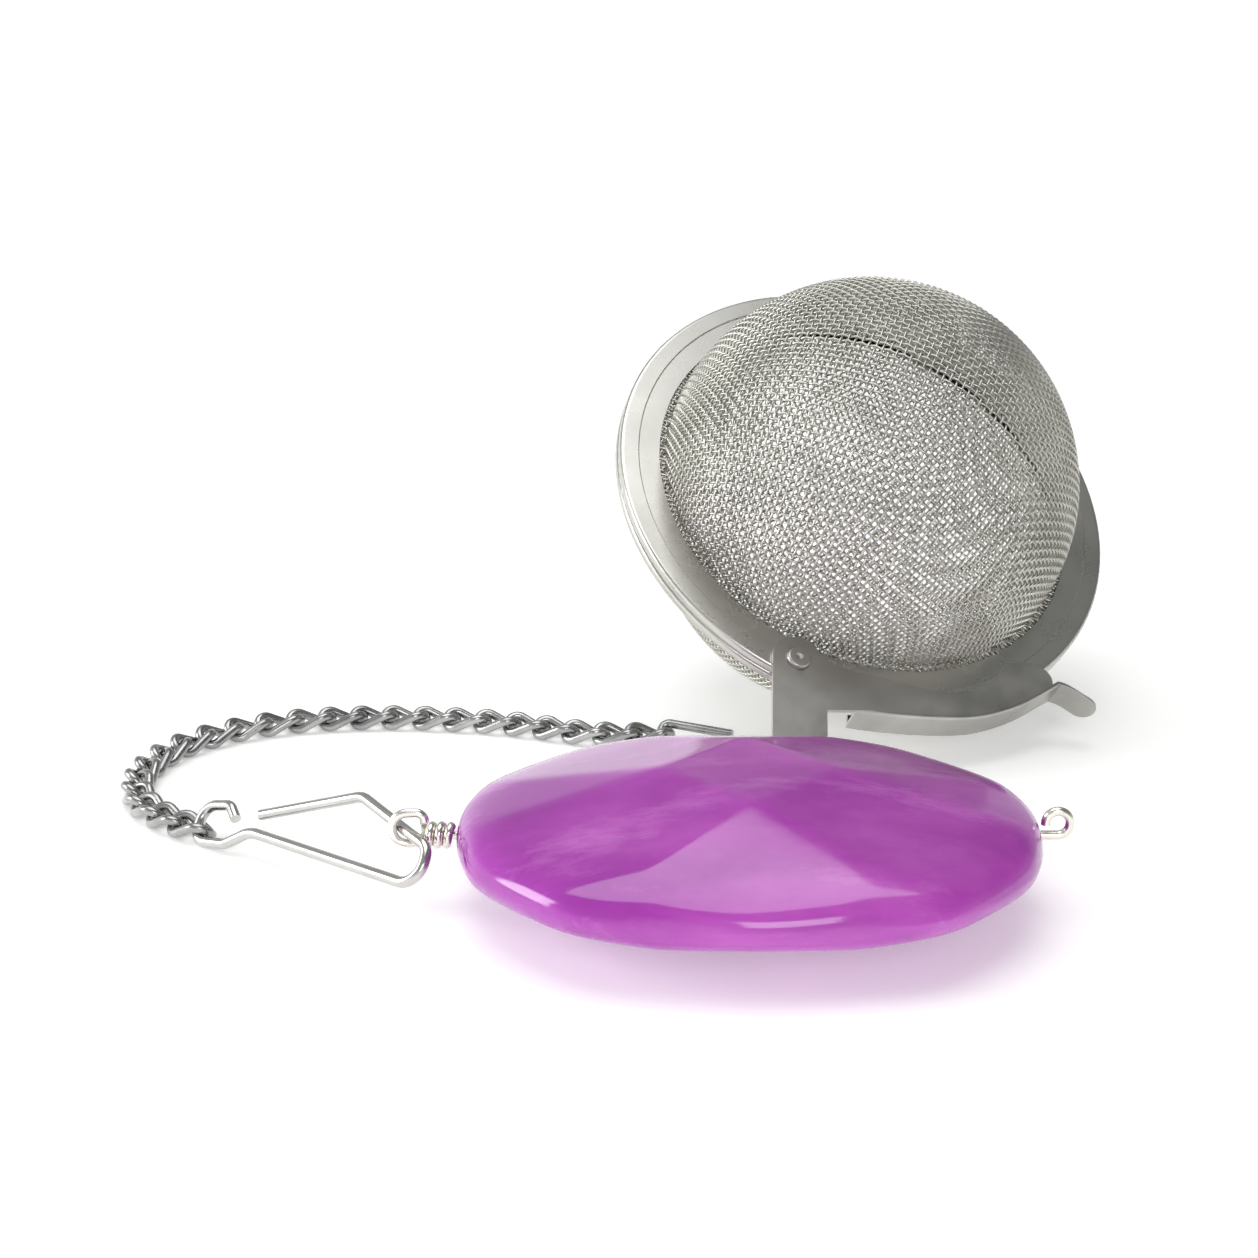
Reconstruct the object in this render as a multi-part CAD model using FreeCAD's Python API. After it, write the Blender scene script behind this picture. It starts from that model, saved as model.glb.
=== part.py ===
"""Tea infuser: a hinged mesh ball with a latch, a chain, a wire hook and a bead charm.

Millimetres.  +Z is up, +X runs to the right along the charm, +Y runs away from the charm
towards the ball.  The ball lies on its rear dome on the floor at z = 0, latch side down.

The ball has a frame of its own (see ball_frame): its z axis is the axis of the two domes,
its origin is the centre of the plane where the halves meet, its x axis is level.
"""

import FreeCAD, Part
import math
import os

V = FreeCAD.Vector
X_AXIS = V(1, 0, 0)
Y_AXIS = V(0, 1, 0)
Z_AXIS = V(0, 0, 1)

# ---- where the frame's origin lies in the layout below: the floor point under the middle
LAYOUT_MIDDLE_X = 0.77
LAYOUT_MIDDLE_Y = 195.64

# ---- the ball: one half, measured outwards from the plane where the halves meet
RIM_R = 26.0                # outer radius of the rolled rim
RIM_INNER_R = 21.9          # inner edge of the rim's flat band
RIM_FACE = 1.15             # height of the rim's outer face
RIM_SHEET = 0.30            # thickness of the rim's sheet metal
RIM_WALL = 0.50             # thickness of the doubled outer edge
RIM_CREASE_R = 24.0         # outside this radius the band stands a little higher
RIM_CREASE = 0.12           # height of that step
RIM_LIP_R = 24.9            # how far the rim's back lip reaches inwards
MEETING_GAP = 0.05          # from the meeting plane to each half
CLAMP_INNER_R = 21.4
CLAMP_OUTER_R = 25.5
CLAMP_SHEET = 0.25
DOME_R = 21.3               # outside of the woven dome
DOME_SKIN = 0.45            # two wires of 0.24 mm, pressed together at the crossings
DOME_CENTRE = 1.40          # height of the dome's centre
DOME_FLANGE_R = 23.1        # the mesh's flat edge, held between rim and clamp ring

# ---- how the ball lies
BALL_X = 23.9
BALL_Y = 219.7
BALL_TILT = 41.3            # between the ball's axis and the vertical, degrees
BALL_FACING = -66.5         # compass direction that the front dome leans to, degrees

# ---- shell hinge, on the rim across from the latch rivet
HINGE_ANGLE = 60.0          # around the ball's axis, degrees
HINGE_R = 27.35             # pin axis, from the ball's axis
PIN_R = 0.45
PIN_LENGTH = 7.6
KNUCKLE_R = 1.0
KNUCKLE_LENGTH = 2.2
KNUCKLE_GAP = 0.15
LEAF_SHEET = 0.5

# ---- latch
RIVET_AT = V(-15.1, -18.8, 0)
RIVET_SHANK_R = 0.80
RIVET_HEAD_R = 1.20
RIVET_HEAD_HEIGHT = 0.42
RIVET_DIMPLE_R = 0.45
LATCH_SHEET = 0.45
LATCH_PLATE = 1.20          # height of the plate's back face over the meeting plane
LATCH_SHANK_GAP = 0.04
LEG_DIRECTION = -110.5      # from the rivet, degrees
LEG_WIDTH_LEFT = 2.5
LEG_WIDTH_RIGHT = 2.9
LEG_HOLE_AT = 12.0          # along the leg from the rivet
LEG_LENGTH = 13.9
LEG_HOLE_R = 1.1
LEG_CORNER_R = 1.6
LATCH_FOLD_R = 0.35         # outside of the fold between plate and wall
LATCH_LIP = 1.25            # wall and lip together, before the lip is cut round
LATCH_LIP_CLEAR_R = 26.12   # the lip stays outside this radius in the rest pose
RIDGE_EDGE = [(-12.85, -18.0), (-11.2, -20.2), (-8.2, -21.7), (-5.6, -22.9), (-3.4, -23.95),
              (-0.5, -24.8), (1.8, -24.75), (4.6, -23.8), (6.2, -22.95), (8.2, -22.6),
              (10.1, -23.5), (11.3, -25.2)]
FOLD_EDGE = [(11.5, -25.7), (9.4, -26.4), (7.0, -27.15), (4.2, -27.7), (1.0, -27.9),
             (-2.0, -27.55), (-5.0, -26.95), (-8.0, -26.2), (-11.2, -25.2)]
TAIL_EDGE = [(11.5, -25.7), (12.6, -26.4), (13.7, -27.6), (14.9, -28.5)]

# ---- chain
LINK_WIRE_R = 0.44
LINK_HALF_LENGTH = 2.16     # to the wire's centre line
LINK_HALF_WIDTH = 1.50      # at the corners, before they are rounded
LINK_BEND_R = 1.08
LINK_TWIST = 45.0           # at each end, in opposite senses
LINK_COUNT = 24
CHAIN_PATH = [(2.0, 206.15, 1.20), (-1.5, 206.35, 1.12), (-4.4, 207.0, 1.07),
              (-7.6, 208.2, 1.07), (-10.8, 209.4, 1.07), (-14.0, 210.3, 1.07),
              (-17.3, 210.9, 1.07), (-20.7, 211.4, 1.07), (-24.1, 211.6, 1.07),
              (-27.5, 211.5, 1.07), (-30.9, 211.1, 1.07), (-34.3, 210.3, 1.07),
              (-37.6, 208.9, 1.07), (-40.6, 206.9, 1.07), (-43.1, 204.3, 1.07),
              (-44.9, 201.1, 1.07), (-45.9, 197.6, 1.07), (-46.1, 194.0, 1.07),
              (-45.5, 190.5, 1.07), (-44.0, 187.2, 1.07), (-41.7, 184.4, 1.07),
              (-38.95, 182.12, 1.10)]

# ---- wire connector between the latch leg and the chain
CONNECTOR_WIRE_R = 0.45
# the eye, from the leg's hole: outwards, down the leg, sideways, bend radius
CONNECTOR_EYE = [(-1.35, 1.9, 0.75, 0), (-1.35, 0.0, 0.4, 1.2), (1.35, 0.0, 0.0, 1.2),
                 (1.35, 2.65, -0.35, 1.2), (-1.5, 2.65, -0.8, 1.0)]
# the arm and its bend: position in the layout, bend radius
CONNECTOR_PATH = [(12.3, 193.6, 1.1, 1.5), (5.4, 203.9, 0.50, 2.0), (3.2, 205.4, 0.50, 0.8),
                  (3.2, 207.2, 2.15, 0.8), (10.2, 204.7, 1.75, 0)]

# ---- cup hook: its plane holds the eye, the charm's loop and the hook's width
HOOK_WIRE_R = 0.49
HOOK_EYE = V(-36.8, 181.0, 1.92)
HOOK_BEND = V(-16.85, 167.0, 6.5)
HOOK_LEAN = 50.0            # of the hook's plane about the line from eye to bend, degrees
# (along, across, bend radius)
HOOK_PATH = [(2.7, 0.5, 0), (1.5, 1.75, 1.1), (-1.65, 1.65, 1.5), (-1.65, -1.75, 1.5),
             (2.4, -1.85, 1.6), (5.0, -0.6, 2.5), (26.0, -4.5, 1.8), (25.7, -1.0, 1.5),
             (16.8, 3.15, 2.0), (5.6, 1.0, 0)]

# ---- charm bead
BEAD_CENTRE = V(9.8, 168.3, 6.0)
BEAD_TABLE = 6.0                 # height of the flat table over the bead's middle
BEAD_HOLE_R = 0.38
# upright side facets of one quarter: distance from the bead's middle, direction in degrees
SIDE_FACETS = [(23.69, 9.2), (23.6, 25.8), (22.3, 42.4), (21.7, 61.9), (19.28, 81.4)]
# each facet: where its plane meets the table's plane, its slope, its direction, both in degrees
CROWN_FACETS = [(5.1, 13.5, 45), (5.1, 13.5, 135), (5.1, 13.5, 225), (5.1, 13.5, 315),
                (7.2, 19.3, 90), (7.2, 19.3, 270), (7.3, 12.6, 0), (7.3, 12.6, 180),
                (8.2, 16.5, 45), (8.2, 16.5, 135), (8.2, 16.5, 225), (8.2, 16.5, 315),
                (9.3, 20.5, 68), (9.3, 20.5, 112), (9.3, 20.5, 248), (9.3, 20.5, 292),
                (10.4, 16.0, 20), (10.4, 16.0, 160), (10.4, 16.0, 200), (10.4, 16.0, 340)]

# ---- silver wire through the bead
SILVER_WIRE_R = 0.38
WRAP_R = 0.78               # of the wraps' centre line
WRAP_COUNT = 3
WRAP_PITCH = 0.77
WRAP_START = 24.40
# (along the bead, height over its middle, bend radius)
SILVER_PATH = [(-26.6, 1.22, 0), (-26.6, 1.95, 0.7), (-29.3, 1.95, 1.3),
               (-29.3, -0.75, 1.3), (-27.3, -0.75, 0.8), (-26.6, 0.0, 0.5),
               (26.45, 0.0, 1.0), (26.45, 2.1, 1.0), (24.45, 2.1, 1.0), (24.45, 0.95, 0)]


def rounded_path(points):
    """Lines through (x, y, z, bend radius) points, with an arc at every inner point."""
    corners = [V(x, y, z) for x, y, z, _ in points]
    edges = []
    start = corners[0]
    for place in range(1, len(points) - 1):
        corner = corners[place]
        radius = points[place][3]
        back = (corners[place - 1] - corner).normalize()
        forth = (corners[place + 1] - corner).normalize()
        half = back.getAngle(forth) / 2
        reach = radius / math.tan(half)
        middle = corner + (back + forth).normalize() * (radius / math.sin(half) - radius)
        if (corner + back * reach - start).Length > 0.001:
            edges.append(Part.makeLine(start, corner + back * reach))
        edges.append(Part.Arc(corner + back * reach, middle, corner + forth * reach).toShape())
        start = corner + forth * reach
    edges.append(Part.makeLine(start, corners[-1]))
    return Part.Wire(edges)


def tube(points, radius):
    """Round wire bent along the points, cut square at both ends."""
    pieces = []
    for edge in rounded_path(points).OrderedEdges:
        start = edge.valueAt(edge.FirstParameter)
        direction = edge.tangentAt(edge.FirstParameter)
        if edge.Curve.TypeId == "Part::GeomCircle":
            pieces.append(torus_piece(edge, start, direction, radius))
        else:
            pieces.append(Part.makeCylinder(radius, edge.Length, start, direction))
    return pieces[0].fuse(pieces[1:])


def torus_piece(arc, start, direction, radius):
    """Bent length of round wire along an arc."""
    centre = arc.Curve.Center
    bend = arc.Curve.Radius
    angle = math.degrees(arc.Length / bend)
    piece = Part.makeTorus(bend, radius, V(0, 0, 0), Z_AXIS, -180, 180, angle)
    outward = (start - centre).normalize()
    rotation = FreeCAD.Rotation(outward, direction, outward.cross(direction), "XYZ")
    piece.Placement = FreeCAD.Placement(centre, rotation)
    return piece


def spline(points):
    """Smooth curve edge through the points."""
    curve = Part.BSplineCurve()
    curve.interpolate([V(*point) for point in points])
    return curve.toShape()


def ring(profile):
    """Solid of revolution about z from a closed (radius, height) polygon."""
    points = [V(r, 0, z) for r, z in profile]
    face = Part.Face(Part.makePolygon(points + points[:1]))
    return face.revolve(V(0, 0, 0), Z_AXIS, 360)


def ball_frame():
    """Placement of the ball's own frame in the layout."""
    lowest = DOME_R + DOME_CENTRE * math.cos(math.radians(BALL_TILT))
    turn = FreeCAD.Rotation(Z_AXIS, BALL_FACING + 90)
    lean = FreeCAD.Rotation(X_AXIS, BALL_TILT)
    return FreeCAD.Placement(V(BALL_X, BALL_Y, lowest), turn.multiply(lean))


def to_rear(shape):
    """Mirror a front part through the plane where the halves meet."""
    return shape.mirror(V(0, 0, 0), Z_AXIS)


def rivet_hole(height):
    """Cylinder of the rivet's shank, for cutting the parts it passes through."""
    return Part.makeCylinder(RIVET_SHANK_R, height, RIVET_AT)


def make_rim_ring():
    """Stamped sheet ring: flat band, rolled outer edge, lip folded back under the clamp ring."""
    under = RIM_FACE - RIM_SHEET
    lip_top = MEETING_GAP + CLAMP_SHEET
    wall = RIM_R - RIM_WALL
    low = RIM_FACE - RIM_CREASE
    band = ring([(RIM_INNER_R, under), (RIM_R - 0.9, under), (RIM_R - 0.9, RIM_FACE),
                 (RIM_CREASE_R + RIM_CREASE, RIM_FACE), (RIM_CREASE_R, low), (RIM_INNER_R, low)])
    fold = ring([(wall - 0.6, under), (wall, under), (wall, lip_top), (RIM_LIP_R, lip_top),
                 (RIM_LIP_R, MEETING_GAP), (RIM_R, MEETING_GAP), (RIM_R, RIM_FACE),
                 (wall - 0.6, RIM_FACE)])
    rolled = [edge for edge in fold.Edges if on_outer_rim(edge)]
    fold = fold.makeFillet(0.4, rolled)
    return band.fuse(fold).removeSplitter()


def on_outer_rim(edge):
    """True for a circle of the rim's full radius."""
    return hasattr(edge.Curve, "Radius") and abs(edge.Curve.Radius - RIM_R) < 0.01


def make_clamp_ring():
    """Flat ring inside the rim, pressing the mesh's edge against the band."""
    low = MEETING_GAP + CLAMP_SHEET
    return ring([(CLAMP_INNER_R, low), (CLAMP_OUTER_R, low), (CLAMP_OUTER_R, low + CLAMP_SHEET),
                 (CLAMP_INNER_R, low + CLAMP_SHEET)])


def make_dome():
    """Woven dome as a thin skin, with its flat edge between rim and clamp ring."""
    low = MEETING_GAP + 2 * CLAMP_SHEET
    inner = DOME_R - DOME_SKIN
    outer_ball = Part.makeSphere(DOME_R, V(0, 0, DOME_CENTRE), Z_AXIS, 0, 90, 360)
    inner_ball = Part.makeSphere(inner, V(0, 0, DOME_CENTRE), Z_AXIS, 0, 90, 360)
    skin = outer_ball.cut(inner_ball)
    neck = ring([(inner, low), (DOME_R, low), (DOME_R, DOME_CENTRE), (inner, DOME_CENTRE)])
    edge = ring([(inner, low), (DOME_FLANGE_R, low), (DOME_FLANGE_R, RIM_FACE - RIM_SHEET),
                 (inner, RIM_FACE - RIM_SHEET)])
    return skin.fuse([neck, edge]).removeSplitter()


def knuckle(start, length, own_side):
    """One hinge barrel with the strip that joins it to the rim's outer edge."""
    barrel = Part.makeCylinder(KNUCKLE_R, length, V(0, start, 0), Y_AXIS)
    strip = Part.makeBox(HINGE_R - RIM_R + 0.4, length, LEAF_SHEET,
                         V(RIM_R - HINGE_R - 0.4, start, 0.3))
    if own_side < 0:
        strip = to_rear(strip)
    return barrel.fuse(strip)


def place_hinge(shape):
    """Move a part from the pin's frame to its place on the rim."""
    placed = shape.copy()
    placed.translate(V(HINGE_R, 0, 0))
    placed.rotate(V(0, 0, 0), Z_AXIS, HINGE_ANGLE)
    return placed


def make_front_leaf(rim, place):
    """Barrel on the front rim; place -1 or 1 is before or after the middle barrel."""
    start = place * (KNUCKLE_LENGTH + KNUCKLE_GAP) - KNUCKLE_LENGTH / 2
    bore = Part.makeCylinder(PIN_R + 0.03, PIN_LENGTH, V(0, -PIN_LENGTH / 2, 0), Y_AXIS)
    return place_hinge(knuckle(start, KNUCKLE_LENGTH, 1).cut(bore)).cut(rim)


def make_rear_leaf(rim):
    """The middle barrel on the rear rim."""
    middle = knuckle(-KNUCKLE_LENGTH / 2, KNUCKLE_LENGTH, -1)
    bore = Part.makeCylinder(PIN_R, PIN_LENGTH, V(0, -PIN_LENGTH / 2, 0), Y_AXIS)
    return place_hinge(middle.cut(bore)).cut(rim)


def make_hinge_pin():
    """Pin through the three barrels, held tight in the middle one."""
    pin = Part.makeCylinder(PIN_R, PIN_LENGTH, V(0, -PIN_LENGTH / 2, 0), Y_AXIS)
    return place_hinge(pin)


def make_rivet():
    """Latch rivet: shank through the front rim, dimpled head over the latch plate."""
    seat = LATCH_PLATE + LATCH_SHEET + MEETING_GAP
    low = MEETING_GAP + CLAMP_SHEET
    shank = Part.makeCylinder(RIVET_SHANK_R, seat - low, RIVET_AT + V(0, 0, low))
    head = Part.makeCylinder(RIVET_HEAD_R, RIVET_HEAD_HEIGHT, RIVET_AT + V(0, 0, seat))
    top = [edge for edge in head.Edges if abs(edge.BoundBox.ZMin - seat - RIVET_HEAD_HEIGHT) < 0.01]
    head = head.makeFillet(0.3, top)
    dimple = Part.makeSphere(RIVET_DIMPLE_R,
                             RIVET_AT + V(0, 0, seat + RIVET_HEAD_HEIGHT + 0.25))
    return shank.fuse(head).cut(dimple)


def leg_point(along, across):
    """Point on the latch leg: along it from the rivet, across it to the right."""
    angle = math.radians(LEG_DIRECTION)
    forward = V(math.cos(angle), math.sin(angle), 0)
    right = V(-math.sin(angle), math.cos(angle), 0)
    return RIVET_AT + forward * along + right * across


def flat_curve(points, height=0.0):
    """Smooth curve through (x, y) points at one height."""
    return spline([(x, y, height) for x, y in points])


def line(start, end):
    """Straight edge."""
    return Part.makeLine(start, end)


def make_plate():
    """Front plate of the latch: round head, leg and curved arm."""
    ridge = flat_curve(RIDGE_EDGE)
    fold = flat_curve(FOLD_EDGE)
    head_side = leg_point(0, -LEG_WIDTH_LEFT)
    head_top = leg_point(-LEG_WIDTH_LEFT, 0)
    ridge_start = V(*RIDGE_EDGE[0], 0)
    ridge_end = V(*RIDGE_EDGE[-1], 0)
    fold_start = V(*FOLD_EDGE[0], 0)
    fold_end = V(*FOLD_EDGE[-1], 0)
    corner = leg_point(5.2, LEG_WIDTH_RIGHT)
    end_right = leg_point(LEG_LENGTH, LEG_WIDTH_RIGHT)
    end_left = leg_point(LEG_LENGTH, -LEG_WIDTH_LEFT)
    head_arc = Part.Arc(head_side, leg_point(-LEG_WIDTH_LEFT * 0.7, -LEG_WIDTH_LEFT * 0.714),
                        head_top).toShape()
    head_right = Part.Arc(head_top, leg_point(-LEG_WIDTH_LEFT * 0.78, LEG_WIDTH_LEFT * 0.6),
                          ridge_start).toShape()
    edges = [head_arc, head_right, ridge, line(ridge_end, fold_start), fold,
             line(fold_end, corner), line(corner, end_right), line(end_right, end_left),
             line(end_left, head_side)]
    plate = Part.Face(Part.Wire(edges)).extrude(V(0, 0, LATCH_SHEET))
    ends = [edge for edge in plate.Edges if is_leg_corner(edge)]
    return plate.makeFillet(LEG_CORNER_R, ends)


def is_leg_corner(edge):
    """True for the two upright edges at the leg's end."""
    box = edge.BoundBox
    upright = box.ZLength > 0.9 * LATCH_SHEET and box.XLength < 0.01 and box.YLength < 0.01
    return upright and (box.Center - RIVET_AT).Length > LEG_LENGTH - 1


def strip_face(points, inward):
    """Flat band between a curve and the same curve moved by `inward` towards the ball's axis."""
    moved = []
    for x, y in points:
        radius = math.hypot(x, y)
        scale = (radius - inward) / radius
        moved.append((x * scale, y * scale))
    outer = flat_curve(points)
    inner = flat_curve(moved)
    start = line(V(*points[0], 0), V(*moved[0], 0))
    end = line(V(*moved[-1], 0), V(*points[-1], 0))
    return Part.Face(Part.Wire([start, inner, end, outer]))


def is_fold(edge):
    """True for the plate's long front edge where the wall is folded down from it."""
    box = edge.BoundBox
    level = abs(box.ZMin - LATCH_PLATE - LATCH_SHEET) < 0.02 and box.ZLength < 0.02
    return level and edge.Length > 15 and edge.CenterOfMass.y < -25.5


def round_tail(tail):
    """Round the free end of the finger tail."""
    end = V(*TAIL_EDGE[-1], 0)
    forth = (end - V(*TAIL_EDGE[-2], 0)).normalize()
    reach = LATCH_PLATE + LATCH_SHEET
    corners = Part.makeBox(2 * reach, 4, 2 * reach + 0.2, V(0, -2, -reach - 0.1))
    corners = corners.cut(Part.makeCylinder(reach, 4, V(0, -2, 0), Y_AXIS))
    rotation = FreeCAD.Rotation(forth, Z_AXIS.cross(forth), Z_AXIS, "XYZ")
    corners.Placement = FreeCAD.Placement(end - forth * reach, rotation)
    return tail.cut(corners)


def make_latch():
    """Latch lever: plate, folded wall around both rims, back lip and finger tail."""
    height = 2 * LATCH_PLATE + 2 * LATCH_SHEET
    bottom = -LATCH_PLATE - LATCH_SHEET
    plate = make_plate()
    plate.translate(V(0, 0, LATCH_PLATE))
    wall = strip_face(FOLD_EDGE, LATCH_SHEET).extrude(V(0, 0, height))
    wall.translate(V(0, 0, bottom))
    folded = plate.fuse(wall).removeSplitter()
    folded = folded.makeFillet(LATCH_FOLD_R, [edge for edge in folded.Edges if is_fold(edge)])
    tail = strip_face(TAIL_EDGE, LATCH_SHEET).extrude(V(0, 0, height))
    tail.translate(V(0, 0, bottom))
    tail = round_tail(tail)
    lip = strip_face(FOLD_EDGE, LATCH_LIP).extrude(V(0, 0, LATCH_SHEET))
    lip.translate(V(0, 0, bottom))
    lip = lip.cut(Part.makeCylinder(LATCH_LIP_CLEAR_R, 2 * height, V(0, 0, -height)))
    latch = folded.fuse([tail, lip])
    shank = Part.makeCylinder(RIVET_SHANK_R + LATCH_SHANK_GAP, 3, RIVET_AT)
    eye = Part.makeCylinder(LEG_HOLE_R, 3, leg_point(LEG_HOLE_AT, 0))
    return latch.cut(shank.fuse(eye)).removeSplitter()


def make_link():
    """One curb link about the origin: a long ring with its two ends twisted apart."""
    lean = math.radians(LINK_TWIST)
    across = LINK_HALF_WIDTH * math.cos(lean)
    height = LINK_HALF_WIDTH * math.sin(lean)
    end = LINK_HALF_LENGTH
    bend = LINK_BEND_R
    half = [(-end, 0, 0, 0), (-end, across, height, bend), (end, across, -height, bend),
            (end, 0, 0, 0)]
    side = tube(half, LINK_WIRE_R)
    other = side.copy()
    other.rotate(V(0, 0, 0), X_AXIS, 180)
    return side.fuse(other)


def chain_places():
    """Placement of every link, evenly spaced along the chain's path."""
    curve = Part.BSplineCurve()
    curve.interpolate([V(*point) for point in CHAIN_PATH])
    points = curve.discretize(Number=LINK_COUNT)
    places = []
    for point in points:
        tangent = curve.tangent(curve.parameter(point))[0]
        turn = math.degrees(math.atan2(tangent.y, tangent.x))
        places.append(FreeCAD.Placement(point, FreeCAD.Rotation(Z_AXIS, turn)))
    return places


def make_connector(frame):
    """Wire connector: an eye through the latch leg, an arm, a bend and a free end."""
    hole = frame.multVec(leg_point(LEG_HOLE_AT, 0) + V(0, 0, LATCH_PLATE + LATCH_SHEET / 2))
    down = frame.Rotation.multVec(leg_point(1, 0) - RIVET_AT)
    out = frame.Rotation.multVec(Z_AXIS)
    side = down.cross(out)
    points = []
    for outward, downward, sideways, bend in CONNECTOR_EYE:
        point = hole + out * outward + down * downward + side * sideways
        points.append((point.x, point.y, point.z, bend))
    return tube(points + CONNECTOR_PATH, CONNECTOR_WIRE_R)


def hook_frame():
    """Placement of the hook's plane: x from its eye to its bend, y across."""
    along = (HOOK_BEND - HOOK_EYE).normalize()
    level = Z_AXIS.cross(along).normalize()
    above = along.cross(level)
    lean = math.radians(HOOK_LEAN)
    across = level * math.cos(lean) + above * math.sin(lean)
    rotation = FreeCAD.Rotation(along, across, along.cross(across), "XYZ")
    return FreeCAD.Placement(HOOK_EYE, rotation)


def make_hook():
    """Cup hook bent from one wire: eye, long arm, round bend and free arm."""
    hook = tube([(x, y, 0, bend) for x, y, bend in HOOK_PATH], HOOK_WIRE_R)
    hook.Placement = hook_frame().multiply(hook.Placement)
    return hook


def facet_cutter(start, slope, direction):
    """Block above a crown facet that leaves the table `start` from the middle and falls away."""
    block = Part.makeBox(80, 80, 40, V(0, -40, 0))
    block.translate(V(-20, 0, 0))
    block.rotate(V(0, 0, 0), Y_AXIS, slope)
    block.translate(V(start, 0, BEAD_TABLE))
    block.rotate(V(0, 0, 0), Z_AXIS, direction)
    return block


def make_bead():
    """Faceted flat oval bead, drilled along its length."""
    crown = Part.makeBox(60, 60, BEAD_TABLE, V(-30, -30, 0))
    for start, slope, direction in CROWN_FACETS:
        crown = crown.cut(facet_cutter(start, slope, direction))
    for distance, quarter in SIDE_FACETS:
        for direction in (quarter, 180 - quarter, 180 + quarter, 360 - quarter):
            side = Part.makeBox(20, 80, 40, V(distance, -40, -20))
            side.rotate(V(0, 0, 0), Z_AXIS, direction)
            crown = crown.cut(side)
    back = crown.copy()
    back.rotate(V(0, 0, 0), X_AXIS, 180)
    bead = crown.fuse(back).removeSplitter()
    bead = bead.cut(Part.makeCylinder(BEAD_HOLE_R, 60, V(-30, 0, 0), X_AXIS))
    bead.translate(BEAD_CENTRE)
    return bead


def make_wraps():
    """Tail of the silver wire, wrapped around the stem beside the bead."""
    points = []
    corners = 4 * WRAP_COUNT
    for step in range(corners + 1):
        angle = math.radians(45 + 90 * step)
        along = -WRAP_START - WRAP_PITCH * step / 4
        reach = WRAP_R * math.sqrt(2)
        points.append((along, reach * math.cos(angle), reach * math.sin(angle), 0.98 * WRAP_R))
    first = [(points[0][0], (points[0][1] + points[1][1]) / 2, points[0][2], 0)]
    wraps = tube(first + points[1:], SILVER_WIRE_R)
    wraps.translate(BEAD_CENTRE)
    return wraps


def make_bead_wire():
    """Silver wire through the bead, with a loop at each end."""
    wire = tube([(x, 0, z, bend) for x, z, bend in SILVER_PATH], SILVER_WIRE_R)
    wire.translate(BEAD_CENTRE)
    return wire


def ball_parts():
    """Every part of the ball, in the ball's own frame."""
    rim = make_rim_ring()
    clamp = make_clamp_ring()
    dome = make_dome()
    hole = rivet_hole(RIM_FACE + 1)
    return {
        "front_rim_ring": rim.cut(hole),
        "front_clamp_ring": clamp.cut(hole),
        "front_mesh_dome": dome,
        "front_hinge_leaf_01": make_front_leaf(rim, -1),
        "front_hinge_leaf_02": make_front_leaf(rim, 1),
        "latch_rivet": make_rivet(),
        "rear_rim_ring": to_rear(rim),
        "rear_clamp_ring": to_rear(clamp),
        "rear_mesh_dome": to_rear(dome),
        "rear_hinge_leaf": make_rear_leaf(to_rear(rim)),
        "hinge_pin": make_hinge_pin(),
        "latch_lever": make_latch(),
    }


def chain_parts():
    """The links, numbered from the latch to the hook."""
    parts = {}
    link = make_link()
    for number, place in enumerate(chain_places(), 1):
        copy = link.copy()
        copy.Placement = place
        parts["chain_link_%02d" % number] = copy
    return parts


def build():
    """All parts in the frame, by name."""
    frame = ball_frame()
    parts = {}
    for name, shape in ball_parts().items():
        shape.Placement = frame.multiply(shape.Placement)
        parts[name] = shape
    parts["chain_connector"] = make_connector(frame)
    parts.update(chain_parts())
    parts["cup_hook"] = make_hook()
    parts["charm_bead"] = make_bead()
    parts["bead_wire"] = make_bead_wire()
    parts["bead_wire_wraps"] = make_wraps()
    for shape in parts.values():
        shape.translate(V(-LAYOUT_MIDDLE_X, -LAYOUT_MIDDLE_Y, 0))
    return parts


def save(parts):
    """One STEP file for every part."""
    os.makedirs("parts", exist_ok=True)
    for name, shape in parts.items():
        shape.exportStep("parts/%s.step" % name)


save(build())
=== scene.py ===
import bpy
import math
import numpy as np
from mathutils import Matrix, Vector


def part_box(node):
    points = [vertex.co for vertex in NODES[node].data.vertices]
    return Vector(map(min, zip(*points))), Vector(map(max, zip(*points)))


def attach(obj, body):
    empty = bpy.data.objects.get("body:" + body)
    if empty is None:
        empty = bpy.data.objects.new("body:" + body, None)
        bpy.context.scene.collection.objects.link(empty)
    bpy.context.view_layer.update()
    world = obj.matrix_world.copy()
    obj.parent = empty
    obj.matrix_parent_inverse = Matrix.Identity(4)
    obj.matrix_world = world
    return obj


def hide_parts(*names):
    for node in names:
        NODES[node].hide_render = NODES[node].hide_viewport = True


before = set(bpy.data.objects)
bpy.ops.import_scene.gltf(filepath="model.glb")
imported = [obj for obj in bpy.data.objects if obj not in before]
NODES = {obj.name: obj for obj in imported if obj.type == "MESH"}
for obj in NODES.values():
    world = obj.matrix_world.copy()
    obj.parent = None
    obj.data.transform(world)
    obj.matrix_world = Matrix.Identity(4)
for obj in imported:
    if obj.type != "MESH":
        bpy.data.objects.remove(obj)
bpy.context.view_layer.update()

# ---- the ball's frame: axis of the two domes, and the middle of the plane where they meet
MM = 0.001
BALL_TILT = math.radians(41.3)
BALL_FACING = math.radians(-66.5)
DOME_R = 21.3 * MM
DOME_CENTRE = 1.40 * MM
NECK = 0.7 * MM             # straight part between the dome and its flat edge
FLANGE = 1.9 * MM           # flat edge held in the rim

# ---- woven mesh
MESH_PITCH = 0.70 * MM
MESH_WIRE_R = 0.115 * MM
MESH_WAVE = 0.11 * MM       # how far a wire swings over and under the others
MESH_SIDES = 6
FRONT_WEAVE_ANGLE = 50.0
REAR_WEAVE_ANGLE = 18.0

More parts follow.
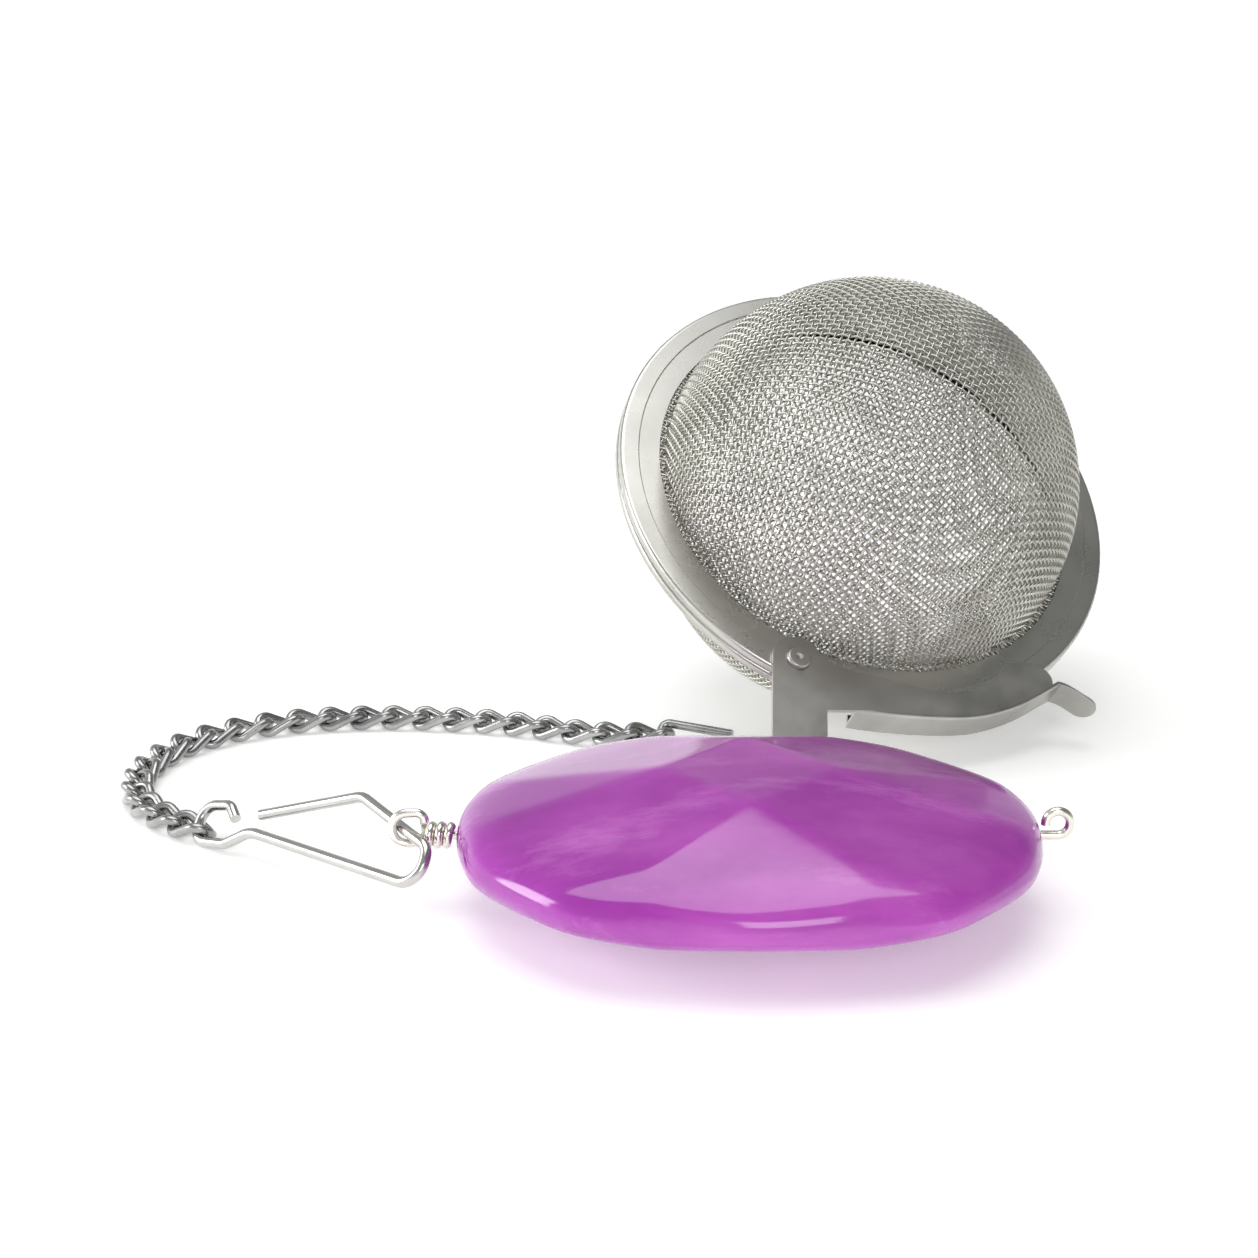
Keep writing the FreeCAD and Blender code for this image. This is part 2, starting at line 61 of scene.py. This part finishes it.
# ---- bead, in millimetres and degrees; the facets are those of one quarter: for the crown, where
# the plane meets the table's plane, its slope and direction; for the sides, distance and direction
BEAD_HALF = (24.0, 19.5, 6.0)
BEAD_CROWN = [(5.1, 13.5, 45), (7.2, 19.3, 90), (7.3, 12.6, 0), (8.2, 16.5, 45),
              (9.3, 20.5, 68), (10.4, 16.0, 20)]
BEAD_SIDES = [(23.69, 9.2), (23.6, 25.8), (22.3, 42.4), (21.7, 61.9), (19.28, 81.4)]
CROWN_SHARPNESS = 120.0     # a higher value leaves a crisper edge between two facets
SIDE_SHARPNESS = 40.0
EDGE_SHARPNESS = 12.0
BEAD_STEPS = 420
BEAD_ROWS = 200
POLE_WELD = 0.01 * MM

# ---- camera, in metres and degrees, with the focal length and sensor in millimetres
CAMERA_HEIGHT = 0.0752
CAMERA_BACK = 0.19564
CAMERA_SIDE = -0.00077
CAMERA_PITCH = 17.0
LENS = 62.96
SENSOR = 36.0

# ---- table top: its width, and the distances and strengths between which its glow grows
FLOOR_SIZE = 16.0
GLOW_REACH = (0.25, 1.1)
GLOW_STRENGTH = (0.30, 0.85)

AXIS = Vector((math.sin(BALL_TILT) * math.cos(BALL_FACING),
               math.sin(BALL_TILT) * math.sin(BALL_FACING), math.cos(BALL_TILT)))
LEVEL = Vector((-math.sin(BALL_FACING), math.cos(BALL_FACING), 0.0))
UPHILL = AXIS.cross(LEVEL)


def ball_middle():
    """Centre of the plane where the halves meet, from the two domes' boxes."""
    front_low, front_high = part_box("front_rim_ring")
    rear_low, rear_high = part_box("rear_rim_ring")
    return (front_low + front_high + rear_low + rear_high) / 4


# ---------------------------------------------------------------- shader helpers

def new_material(name):
    """Empty node material with its Principled shader."""
    material = bpy.data.materials.new(name)
    material.use_nodes = True
    return material, material.node_tree, material.node_tree.nodes["Principled BSDF"]


def add(tree, kind, **inputs):
    """New node with its inputs set by name."""
    node = tree.nodes.new(kind)
    for key, value in inputs.items():
        node.inputs[key.replace("_", " ")].default_value = value
    return node


def noise(tree, scale, detail=4.0, stretch=(1.0, 1.0, 1.0), roughness=0.55):
    """Object-space noise, optionally stretched."""
    place = tree.nodes.new("ShaderNodeTexCoord")
    mapping = tree.nodes.new("ShaderNodeMapping")
    mapping.inputs["Scale"].default_value = stretch
    pattern = add(tree, "ShaderNodeTexNoise", Scale=scale, Detail=detail, Roughness=roughness)
    tree.links.new(place.outputs["Object"], mapping.inputs["Vector"])
    tree.links.new(mapping.outputs["Vector"], pattern.inputs["Vector"])
    return pattern.outputs["Fac"]


def ramp(tree, source, stops):
    """Colour ramp over a value; stops are (position, colour)."""
    node = tree.nodes.new("ShaderNodeValToRGB")
    elements = node.color_ramp.elements
    while len(elements) < len(stops):
        elements.new(0.5)
    for element, (position, colour) in zip(elements, stops):
        element.position = position
        element.color = (*colour, 1.0)
    tree.links.new(source, node.inputs["Fac"])
    return node.outputs["Color"]


def remap(tree, source, low, high, start=0.3, end=0.7):
    """Value stretched from start..end to low..high, and held there outside."""
    node = tree.nodes.new("ShaderNodeMapRange")
    node.inputs["From Min"].default_value = start
    node.inputs["From Max"].default_value = end
    node.inputs["To Min"].default_value = low
    node.inputs["To Max"].default_value = high
    tree.links.new(source, node.inputs["Value"])
    return node.outputs["Result"]


def bump(tree, shader, height, strength, distance):
    """Fine relief on the shader's normal."""
    node = add(tree, "ShaderNodeBump", Strength=strength, Distance=distance)
    tree.links.new(height, node.inputs["Height"])
    tree.links.new(node.outputs["Normal"], shader.inputs["Normal"])


def metal(name, dark, light, rough, scale, relief):
    """Metal with cloudy tone, uneven polish and fine scratches."""
    material, tree, shader = new_material(name)
    shader.inputs["Metallic"].default_value = 1.0
    tone = noise(tree, scale, 5.0)
    tree.links.new(ramp(tree, tone, [(0.32, dark), (0.68, light)]), shader.inputs["Base Color"])
    polish = noise(tree, scale * 2.3, 6.0)
    tree.links.new(remap(tree, polish, rough[0], rough[1]), shader.inputs["Roughness"])
    grain = noise(tree, scale * 9.0, 3.0)
    bump(tree, shader, grain, relief, 0.00003)
    return material


def stone():
    """Polished translucent dyed stone with cloudy bands and a few pale veins."""
    material, tree, shader = new_material("bead_stone")
    clouds = noise(tree, 62.0, 6.0, (0.55, 1.0, 1.6), 0.6)
    body = ramp(tree, clouds, [(0.30, (0.26, 0.018, 0.29)), (0.50, (0.36, 0.036, 0.38)),
                               (0.72, (0.50, 0.095, 0.50))])
    veins = noise(tree, 150.0, 8.0, (0.4, 1.2, 1.0), 0.7)
    mask = ramp(tree, veins, [(0.55, (0.0, 0.0, 0.0)), (0.74, (0.5, 0.5, 0.5))])
    mix = tree.nodes.new("ShaderNodeMix")
    mix.data_type = "RGBA"
    mix.inputs["B"].default_value = (0.66, 0.24, 0.66, 1.0)
    tree.links.new(mask, mix.inputs["Factor"])
    tree.links.new(body, mix.inputs["A"])
    tree.links.new(mix.outputs["Result"], shader.inputs["Base Color"])
    shader.inputs["Subsurface Weight"].default_value = 0.75
    shader.inputs["Subsurface Radius"].default_value = (1.0, 0.35, 1.0)
    shader.inputs["Subsurface Scale"].default_value = 0.004
    shader.inputs["IOR"].default_value = 1.54
    shader.inputs["Coat Weight"].default_value = 0.25
    shader.inputs["Coat Roughness"].default_value = 0.05
    polish = noise(tree, 90.0, 5.0)
    tree.links.new(remap(tree, polish, 0.07, 0.17), shader.inputs["Roughness"])
    relief = noise(tree, 320.0, 4.0)
    bump(tree, shader, relief, 0.10, 0.00005)
    return material


# ---------------------------------------------------------------- mesh helpers

def ring_quads(rings, sides):
    """Quads between neighbouring closed rings of points."""
    row = np.arange(rings - 1)[:, None] * sides
    here = np.arange(sides)[None]
    after = (here + 1) % sides
    return np.stack([row + here, row + after, row + sides + after, row + sides + here],
                    axis=-1).reshape(-1, 4)


def smooth_object(name, points, faces):
    """Smooth-shaded mesh object, linked to the scene."""
    mesh = bpy.data.meshes.new(name)
    mesh.from_pydata(points.tolist(), [], faces.tolist())
    mesh.polygons.foreach_set("use_smooth", [True] * len(mesh.polygons))
    thing = bpy.data.objects.new(name, mesh)
    bpy.context.scene.collection.objects.link(thing)
    return thing


# ---------------------------------------------------------------- woven domes

def profile(radius):
    """(distance from the axis, height) of the sheet's point `radius` from its middle."""
    middle = DOME_R - MESH_WAVE - MESH_WIRE_R
    quarter = middle * math.pi / 2
    angle = np.minimum(radius, quarter) / middle
    down = np.clip(radius - quarter, 0.0, NECK)
    out = np.clip(radius - quarter - NECK, 0.0, FLANGE)
    return middle * np.sin(angle) + out, DOME_CENTRE + middle * np.cos(angle) - down


def on_dome(a, b):
    """Points on the dome for sheet coordinates a, b."""
    radius = np.hypot(a, b) + 1e-9
    reach, height = profile(radius)
    return np.stack([a / radius * reach, b / radius * reach, height], axis=-1)


def sheet_radius():
    """Radius of the flat sheet before it was pressed into a dome."""
    return (DOME_R - MESH_WAVE - MESH_WIRE_R) * math.pi / 2 + NECK + FLANGE


def wire_line(number, along_a):
    """Centre line and surface normals of one wire of the weave."""
    edge = sheet_radius()
    fixed = number * MESH_PITCH
    half = math.sqrt(edge ** 2 - fixed ** 2)
    steps = int(half / (MESH_PITCH / 2))
    run = np.arange(-steps, steps + 1) * MESH_PITCH / 2
    still = np.full_like(run, fixed)
    a, b = (run, still) if along_a else (still, run)
    small = MESH_PITCH * 0.05
    centre = on_dome(a, b)
    normal = np.cross(on_dome(a + small, b) - centre, on_dome(a, b + small) - centre)
    normal /= np.linalg.norm(normal, axis=1)[:, None]
    swing = np.cos(math.pi * run / MESH_PITCH) * (-1) ** abs(number) * MESH_WAVE
    if along_a:
        swing = -swing
    return centre + normal * swing[:, None], normal


def wire_tube(centre, normal):
    """Vertices and quads of a round wire along a centre line."""
    tangent = np.gradient(centre, axis=0)
    tangent /= np.linalg.norm(tangent, axis=1)[:, None]
    side = np.cross(tangent, normal)
    side /= np.linalg.norm(side, axis=1)[:, None]
    above = np.cross(side, tangent)
    turn = np.arange(MESH_SIDES) * 2 * math.pi / MESH_SIDES
    circle = (side[:, None] * np.cos(turn)[None, :, None]
              + above[:, None] * np.sin(turn)[None, :, None])
    points = (centre[:, None] + circle * MESH_WIRE_R).reshape(-1, 3)
    return points, ring_quads(len(centre), MESH_SIDES)


def weave(name, along_a, angle, flip):
    """All the wires of one direction of one dome, as one mesh object in the row frame."""
    count = int(sheet_radius() / MESH_PITCH)
    points = []
    quads = []
    total = 0
    for number in range(-count, count + 1):
        centre, normal = wire_line(number, along_a)
        if len(centre) < 3:
            continue
        tube_points, tube_quads = wire_tube(centre, normal)
        points.append(tube_points)
        quads.append(tube_quads + total)
        total += len(tube_points)
    local = np.concatenate(points)
    faces = np.concatenate(quads)
    if flip:
        local[:, 2] *= -1
        faces = faces[:, ::-1]
    turn = math.radians(angle)
    x = local[:, 0] * math.cos(turn) - local[:, 1] * math.sin(turn)
    y = local[:, 0] * math.sin(turn) + local[:, 1] * math.cos(turn)
    world = (np.outer(x, LEVEL) + np.outer(y, UPHILL) + np.outer(local[:, 2], AXIS)
             + np.array(ball_middle()))
    return smooth_object(name, world, faces)


def make_domes(material):
    """Two woven domes in place of the plain skins."""
    for half, angle, flip in (("front", FRONT_WEAVE_ANGLE, False), ("rear", REAR_WEAVE_ANGLE, True)):
        for direction, along_a in (("warp", True), ("weft", False)):
            thing = weave("%s_mesh_%s" % (half, direction), along_a, angle, flip)
            thing.data.materials.append(material)
            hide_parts("%s_mesh_dome" % half)
            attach(thing, "%s_shell" % half)


# ---------------------------------------------------------------- finishes

def paint(names, material):
    """Give CAD parts their material."""
    for name in names:
        part = NODES[name]
        part.data.materials.clear()
        part.data.materials.append(material)


def soft_largest(values, power):
    """Largest of several values, blended where they come close."""
    values = np.maximum(values, 1e-9)
    top = values.max(axis=0)
    return top * ((values / top) ** power).sum(axis=0) ** (1.0 / power)


def quarters(angle):
    """The four directions that mirror one facet direction, in radians."""
    return [math.radians(a) for a in (angle, 180 - angle, 180 + angle, 360 - angle)]


def bead_directions():
    """Directions from the bead's middle to a grid on a flat ellipsoid."""
    half_x, half_y, half_z = BEAD_HALF
    around = np.arange(BEAD_STEPS) * 2 * math.pi / BEAD_STEPS
    rise = np.linspace(-math.pi / 2, math.pi / 2, BEAD_ROWS)[:, None]
    grid = np.stack([half_x * np.cos(rise) * np.cos(around), half_y * np.cos(rise) * np.sin(around),
                     half_z * np.sin(rise) * np.ones_like(around)], axis=-1)
    return grid / np.linalg.norm(grid, axis=-1, keepdims=True)


def bead_points():
    """Surface of the bead about its middle: crisp crown facets and a well rounded edge."""
    aim = bead_directions()
    table = BEAD_HALF[2]
    crown = [np.abs(aim[..., 2]) / table]
    for start, slope, angle in BEAD_CROWN:
        tilt = math.radians(slope)
        depth = math.sin(tilt) * start + math.cos(tilt) * table
        for turn in quarters(angle):
            outward = aim[..., 0] * math.cos(turn) + aim[..., 1] * math.sin(turn)
            crown.append((outward * math.sin(tilt) + np.abs(aim[..., 2]) * math.cos(tilt)) / depth)
    sides = [(aim[..., 0] * math.cos(turn) + aim[..., 1] * math.sin(turn)) / distance
             for distance, angle in BEAD_SIDES for turn in quarters(angle)]
    both = np.stack([soft_largest(np.stack(crown), CROWN_SHARPNESS),
                     soft_largest(np.stack(sides), SIDE_SHARPNESS)])
    return aim / soft_largest(both, EDGE_SHARPNESS)[..., None]


def make_bead():
    """The bead with worn facet edges, in place of the sharp one."""
    low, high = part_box("charm_bead")
    points = bead_points().reshape(-1, 3)
    half = np.array((high - low) / 2)
    points = points / np.abs(points).max(axis=0) * half + np.array((high + low) / 2)
    bead = smooth_object("faceted_bead", points, ring_quads(BEAD_ROWS, BEAD_STEPS))
    bead.data.materials.append(stone())
    bead.data.validate()
    weld = bead.modifiers.new("close_poles", "WELD")
    weld.merge_threshold = POLE_WELD
    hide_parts("charm_bead")
    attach(bead, "charm")


def finish_parts():
    """Materials of every part."""
    stamped = metal("stamped_steel", (0.52, 0.51, 0.48), (0.64, 0.63, 0.59), (0.24, 0.33),
                    60.0, 0.035)
    latch = metal("latch_steel", (0.40, 0.39, 0.37), (0.55, 0.54, 0.51), (0.26, 0.42), 130.0, 0.16)
    woven = metal("woven_mesh", (0.46, 0.45, 0.41), (0.64, 0.63, 0.58), (0.20, 0.34), 160.0, 0.08)
    chain = metal("chain_steel", (0.30, 0.30, 0.30), (0.47, 0.47, 0.46), (0.18, 0.34), 260.0, 0.12)
    hook = metal("hook_steel", (0.50, 0.49, 0.48), (0.64, 0.63, 0.61), (0.12, 0.24), 180.0, 0.06)
    silver = metal("silver_wire", (0.74, 0.70, 0.64), (0.90, 0.87, 0.81), (0.14, 0.28), 220.0, 0.08)
    paint(["front_rim_ring", "rear_rim_ring", "front_clamp_ring", "rear_clamp_ring",
           "front_hinge_leaf_01", "front_hinge_leaf_02", "rear_hinge_leaf", "hinge_pin"], stamped)
    paint(["latch_lever", "latch_rivet"], latch)
    paint([name for name in NODES if name.startswith("chain_")], chain)
    paint(["cup_hook"], hook)
    paint(["bead_wire", "bead_wire_wraps"], silver)
    make_bead()
    make_domes(woven)


# ---------------------------------------------------------------- stage

def make_floor():
    """Plain white table top that glows more away from the object."""
    bpy.ops.mesh.primitive_plane_add(size=FLOOR_SIZE, location=(0.0, 0.0, 0.0))
    floor = bpy.context.object
    floor.name = "floor"
    material, tree, shader = new_material("floor_white")
    shader.inputs["Base Color"].default_value = (0.92, 0.92, 0.91, 1.0)
    shader.inputs["Roughness"].default_value = 0.6
    shader.inputs["Emission Color"].default_value = (1.0, 1.0, 0.995, 1.0)
    place = tree.nodes.new("ShaderNodeTexCoord")
    distance = tree.nodes.new("ShaderNodeVectorMath")
    distance.operation = "LENGTH"
    tree.links.new(place.outputs["Object"], distance.inputs[0])
    glow = remap(tree, distance.outputs["Value"], *GLOW_STRENGTH, *GLOW_REACH)
    tree.links.new(glow, shader.inputs["Emission Strength"])
    floor.data.materials.append(material)


def area_light(name, place, target, size, power):
    """Square soft light aimed at a point."""
    data = bpy.data.lights.new(name, "AREA")
    data.size = size
    data.energy = power
    lamp = bpy.data.objects.new(name, data)
    lamp.location = place
    lamp.rotation_euler = (Vector(target) - Vector(place)).to_track_quat("-Z", "Y").to_euler()
    bpy.context.scene.collection.objects.link(lamp)


def make_light():
    """Bright surroundings, darker overhead, with soft lamps above and at the sides."""
    world = bpy.data.worlds.new("studio")
    bpy.context.scene.world = world
    world.use_nodes = True
    tree = world.node_tree
    place = tree.nodes.new("ShaderNodeTexCoord")
    split = tree.nodes.new("ShaderNodeSeparateXYZ")
    tree.links.new(place.outputs["Generated"], split.inputs["Vector"])
    tone = ramp(tree, split.outputs["Z"], [(0.0, (1.0, 1.0, 1.0)), (0.16, (0.90, 0.91, 0.92)),
                                           (0.42, (0.40, 0.41, 0.40)), (1.0, (0.30, 0.31, 0.31))])
    strength = remap(tree, split.outputs["X"], 1.45, 0.55, -0.7, 0.6)
    background = tree.nodes["Background"]
    tree.links.new(tone, background.inputs["Color"])
    tree.links.new(strength, background.inputs["Strength"])
    area_light("overhead", (-0.03, 0.03, 0.60), (0.0, 0.0, 0.0), 0.50, 1.9)
    area_light("left", (-0.55, -0.05, 0.22), (0.0, 0.0, 0.01), 0.25, 1.3)
    area_light("front", (0.10, -0.60, 0.30), (0.0, 0.0, 0.0), 0.25, 0.8)


def make_camera():
    """Camera at a low angle in front of the charm."""
    data = bpy.data.cameras.new("camera")
    data.lens = LENS
    data.sensor_width = SENSOR
    data.clip_start = 0.01
    camera = bpy.data.objects.new("camera", data)
    camera.location = (CAMERA_SIDE, -CAMERA_BACK, CAMERA_HEIGHT)
    camera.rotation_euler = (math.radians(90.0 - CAMERA_PITCH), 0.0, 0.0)
    bpy.context.scene.collection.objects.link(camera)
    bpy.context.scene.camera = camera


finish_parts()
make_floor()
make_light()
make_camera()
bpy.context.scene.view_settings.view_transform = "Standard"
